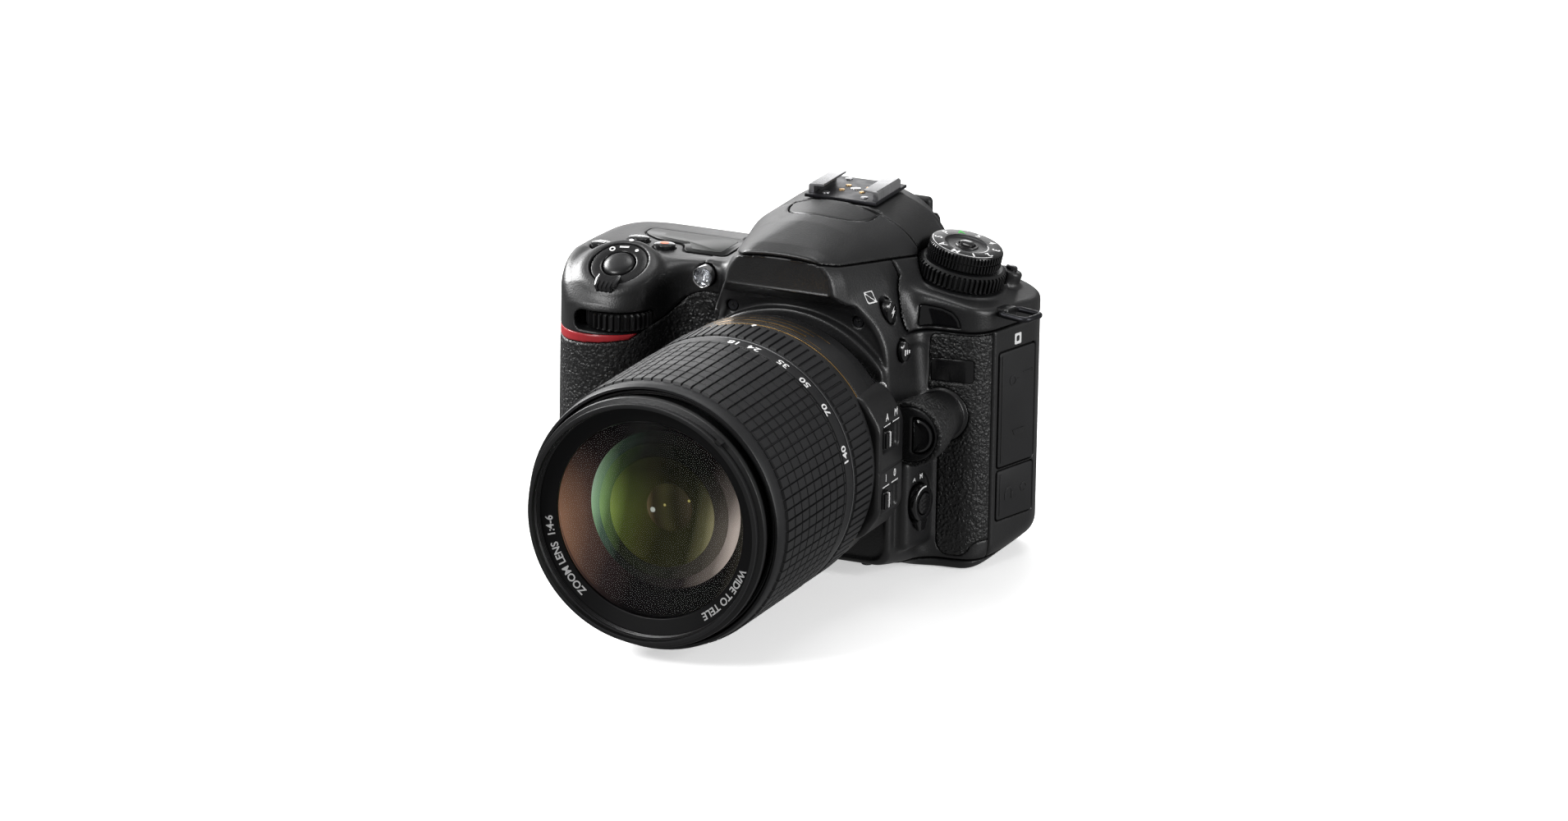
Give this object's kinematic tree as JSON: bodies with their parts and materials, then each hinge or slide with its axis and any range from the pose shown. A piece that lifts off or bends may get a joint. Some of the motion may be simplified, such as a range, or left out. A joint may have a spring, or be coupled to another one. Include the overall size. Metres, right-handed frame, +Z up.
{
  "type": "dslr camera",
  "caption": "Single lens reflex camera with a grip, mode dial, accessory shoe, tilting monitor and an extending zoom lens.",
  "frame": {"origin": "centre of the bounding box's footprint, on the base the camera stands on", "axes": "+Z up, -Y along the lens towards the subject, +X to the camera's left hand, which is right in the front view"},
  "size_m": [0.1506, 0.1651, 0.104],
  "materials": {
    "body_plastic": "fine speckled moulding, satin",
    "pebbled_rubber": "pebbled grain, matt",
    "button_plastic": "smooth satin black",
    "dial_rubber": "ribbed, satin",
    "bare_steel": "brushed along the rails",
    "dark_metal": "matt black",
    "lens_plastic": "fine grain, satin",
    "ring_rubber": "ribbed, matt",
    "optical_glass": "clear, coated green and amber",
    "display_cover": "clear over a grey display",
    "circuit_board": "green solder mask",
    "mirror_coating": "front silvered"
  },
  "bodies": {
    "camera_body": {"front_cover": "body_plastic", "top_cover": "body_plastic", "rear_cover": "body_plastic", "bottom_cover": "body_plastic", "grip_rubber": "pebbled_rubber", "front_panel_rubber": "pebbled_rubber", "thumb_rest_rubber": "pebbled_rubber", "mirror_box": "body_plastic", "body_mount_ring": "bare_steel", "focusing_screen": "optical_glass", "pentaprism": "optical_glass", "image_sensor": "optical_glass", "shutter_unit": "dark_metal", "main_board": "circuit_board", "battery": "button_plastic", "top_display_window": "display_cover", "af_assist_lamp": "optical_glass", "hot_shoe": "bare_steel", "eyecup": "pebbled_rubber", "tripod_socket": "bare_steel", "strap_loop_left": "bare_steel", "strap_loop_right": "bare_steel", "lens_barrel": "lens_plastic", "lens_mount": "bare_steel", "rear_element": "optical_glass", "aperture_unit": "dark_metal"},
    "front_barrel": {"front_barrel": "lens_plastic", "front_element": "optical_glass"},
    "battery_door": {"battery_door": "body_plastic"},
    "card_door": {"card_door": "body_plastic"},
    "flash_head": {"flash_head": "body_plastic"},
    "monitor": {"monitor": "body_plastic"},
    "port_door_upper": {"port_door_upper": "pebbled_rubber"},
    "port_door_lower": {"port_door_lower": "pebbled_rubber"},
    "shutter_button": {"shutter_button": "button_plastic"},
    "power_switch": {"power_switch": "button_plastic"},
    "exposure_button": {"exposure_button": "button_plastic"},
    "iso_button": {"iso_button": "button_plastic"},
    "movie_button": {"movie_button": "button_plastic"},
    "mode_dial": {"mode_dial": "button_plastic"},
    "mode_dial_lock": {"mode_dial_lock": "button_plastic"},
    "release_dial": {"release_dial": "button_plastic"},
    "flash_button": {"flash_button": "button_plastic"},
    "bracket_button": {"bracket_button": "button_plastic"},
    "lens_release_button": {"lens_release_button": "button_plastic"},
    "focus_mode_lever": {"focus_mode_lever": "button_plastic"},
    "focus_mode_button": {"focus_mode_button": "button_plastic"},
    "multi_selector": {"multi_selector": "button_plastic"},
    "menu_button": {"menu_button": "button_plastic"},
    "playback_button": {"playback_button": "button_plastic"},
    "diopter_dial": {"diopter_dial": "button_plastic"},
    "focus_switch": {"focus_switch": "button_plastic"},
    "vibration_switch": {"vibration_switch": "button_plastic"},
    "sub_command_dial": {"sub_command_dial": "dial_rubber"},
    "main_command_dial": {"main_command_dial": "dial_rubber"},
    "monitor_arm": {"monitor_arm": "dark_metal"},
    "middle_tube": {"middle_tube": "lens_plastic"},
    "focus_ring": {"focus_ring": "ring_rubber"},
    "zoom_ring": {"zoom_ring": "ring_rubber"},
    "reflex_mirror": {"reflex_mirror": "mirror_coating"}
  },
  "joints": [
    {"name": "shutter_press", "type": "slide", "parent": "camera_body", "child": "shutter_button", "axis": [0, 0.4848, -0.8746], "range_m": [0, 0.001], "stiffness_N_per_m": 300},
    {"name": "power_switch_turn", "type": "hinge", "parent": "camera_body", "child": "power_switch", "pos_m": [-0.04995, 0.0294, 0.0796], "axis": [0, -0.4848, 0.8746], "range_deg": [-35, 35]},
    {"name": "exposure_press", "type": "slide", "parent": "camera_body", "child": "exposure_button", "axis": [0, 0, -1], "range_m": [0, 0.0006], "stiffness_N_per_m": 300},
    {"name": "iso_press", "type": "slide", "parent": "camera_body", "child": "iso_button", "axis": [0, 0, -1], "range_m": [0, 0.0006], "stiffness_N_per_m": 300},
    {"name": "movie_press", "type": "slide", "parent": "camera_body", "child": "movie_button", "axis": [0, 0, -1], "range_m": [0, 0.0006], "stiffness_N_per_m": 300},
    {"name": "mode_dial_turn", "type": "hinge", "parent": "camera_body", "child": "mode_dial", "pos_m": [0.04535, 0.056, 0.082], "axis": [0.2079, 0, 0.9781], "continuous": true},
    {"name": "mode_dial_lock_press", "type": "slide", "parent": "mode_dial", "child": "mode_dial_lock", "axis": [-0.2079, 0, -0.9781], "range_m": [0, 0.0008], "stiffness_N_per_m": 300},
    {"name": "release_dial_turn", "type": "hinge", "parent": "camera_body", "child": "release_dial", "pos_m": [0.04535, 0.056, 0.082], "axis": [0.2079, 0, 0.9781], "range_deg": [0, 150]},
    {"name": "flash_popup", "type": "hinge", "parent": "camera_body", "child": "flash_head", "pos_m": [0.00895, 0.0502, 0.0982], "axis": [-1, 0, 0], "range_deg": [0, 50]},
    {"name": "flash_button_press", "type": "slide", "parent": "camera_body", "child": "flash_button", "axis": [-0.9563, 0.2924, 0], "range_m": [0, 0.0008], "stiffness_N_per_m": 300},
    {"name": "bracket_button_press", "type": "slide", "parent": "camera_body", "child": "bracket_button", "axis": [-0.9563, 0.2924, 0], "range_m": [0, 0.0008], "stiffness_N_per_m": 300},
    {"name": "lens_release_press", "type": "slide", "parent": "camera_body", "child": "lens_release_button", "axis": [0, 1, 0], "range_m": [0, 0.0008], "stiffness_N_per_m": 300},
    {"name": "focus_mode_turn", "type": "hinge", "parent": "camera_body", "child": "focus_mode_lever", "pos_m": [0.04535, 0.0298, 0.0213], "axis": [-0.9903, 0.1392, 0], "range_deg": [0, 40]},
    {"name": "focus_mode_press", "type": "slide", "parent": "camera_body", "child": "focus_mode_button", "axis": [-0.9903, 0.1392, 0], "range_m": [0, 0.001], "stiffness_N_per_m": 300},
    {"name": "multi_selector_press", "type": "slide", "parent": "camera_body", "child": "multi_selector", "axis": [0, -1, 0], "range_m": [0, 0.0006], "stiffness_N_per_m": 300},
    {"name": "menu_press", "type": "slide", "parent": "camera_body", "child": "menu_button", "axis": [0, -1, 0], "range_m": [0, 0.0006], "stiffness_N_per_m": 300},
    {"name": "playback_press", "type": "slide", "parent": "camera_body", "child": "playback_button", "axis": [0, -1, 0], "range_m": [0, 0.0006], "stiffness_N_per_m": 300},
    {"name": "diopter_turn", "type": "hinge", "parent": "camera_body", "child": "diopter_dial", "pos_m": [0.02835, 0.076, 0.09], "axis": [1, 0, 0], "range_deg": [-120, 120]},
    {"name": "main_dial_turn", "type": "hinge", "parent": "camera_body", "child": "main_command_dial", "pos_m": [-0.05305, 0.0685, 0.067], "axis": [0, 0, 1], "continuous": true},
    {"name": "sub_dial_turn", "type": "hinge", "parent": "camera_body", "child": "sub_command_dial", "pos_m": [-0.04785, 0.026, 0.0657], "axis": [0, 0, 1], "continuous": true},
    {"name": "monitor_arm_tilt", "type": "hinge", "parent": "camera_body", "child": "monitor_arm", "pos_m": [0.00895, 0.0734, 0.0086], "axis": [-1, 0, 0], "range_deg": [0, 90]},
    {"name": "monitor_tilt", "type": "hinge", "parent": "monitor_arm", "child": "monitor", "pos_m": [0.00895, 0.0752, 0.0615], "axis": [1, 0, 0], "range_deg": [0, 45]},
    {"name": "battery_door_hinge", "type": "hinge", "parent": "camera_body", "child": "battery_door", "pos_m": [-0.04255, 0.041, 0.0013], "axis": [0, -1, 0], "range_deg": [0, 90]},
    {"name": "card_door_hinge", "type": "hinge", "parent": "camera_body", "child": "card_door", "pos_m": [-0.06705, 0.063, 0.041], "axis": [0, 0, -1], "range_deg": [0, 100]},
    {"name": "port_door_upper_hinge", "type": "hinge", "parent": "camera_body", "child": "port_door_upper", "pos_m": [0.06238, 0.04698, 0.0461], "axis": [0, 0, -1], "range_deg": [0, 100]},
    {"name": "port_door_lower_hinge", "type": "hinge", "parent": "camera_body", "child": "port_door_lower", "pos_m": [0.06238, 0.04698, 0.0205], "axis": [0, 0, -1], "range_deg": [0, 100]},
    {"name": "mirror_flip", "type": "hinge", "parent": "camera_body", "child": "reflex_mirror", "pos_m": [0.00895, 0.0478, 0.0514], "axis": [-1, 0, 0], "range_deg": [0, 45]},
    {"name": "focus_turn", "type": "hinge", "parent": "camera_body", "child": "focus_ring", "pos_m": [0.00895, -0.016, 0.041], "axis": [0, -1, 0], "continuous": true},
    {"name": "zoom_turn", "type": "hinge", "parent": "camera_body", "child": "zoom_ring", "pos_m": [0.00895, -0.049, 0.041], "axis": [0, -1, 0], "range_deg": [0, 70]},
    {"name": "middle_tube_slide", "type": "slide", "parent": "camera_body", "child": "middle_tube", "axis": [0, -1, 0], "range_m": [0, 0.0251]},
    {"name": "front_barrel_slide", "type": "slide", "parent": "camera_body", "child": "front_barrel", "axis": [0, -1, 0], "range_m": [0, 0.0502]},
    {"name": "focus_switch_slide", "type": "slide", "parent": "camera_body", "child": "focus_switch", "axis": [0, 1, 0], "range_m": [0, 0.004]},
    {"name": "vibration_switch_slide", "type": "slide", "parent": "camera_body", "child": "vibration_switch", "axis": [0, 1, 0], "range_m": [0, 0.004]}
  ],
  "couplings": [
    {"joint": "middle_tube_slide", "follows": "zoom_turn", "m_per_rad": 0.020463},
    {"joint": "front_barrel_slide", "follows": "zoom_turn", "m_per_rad": 0.040926}
  ]
}
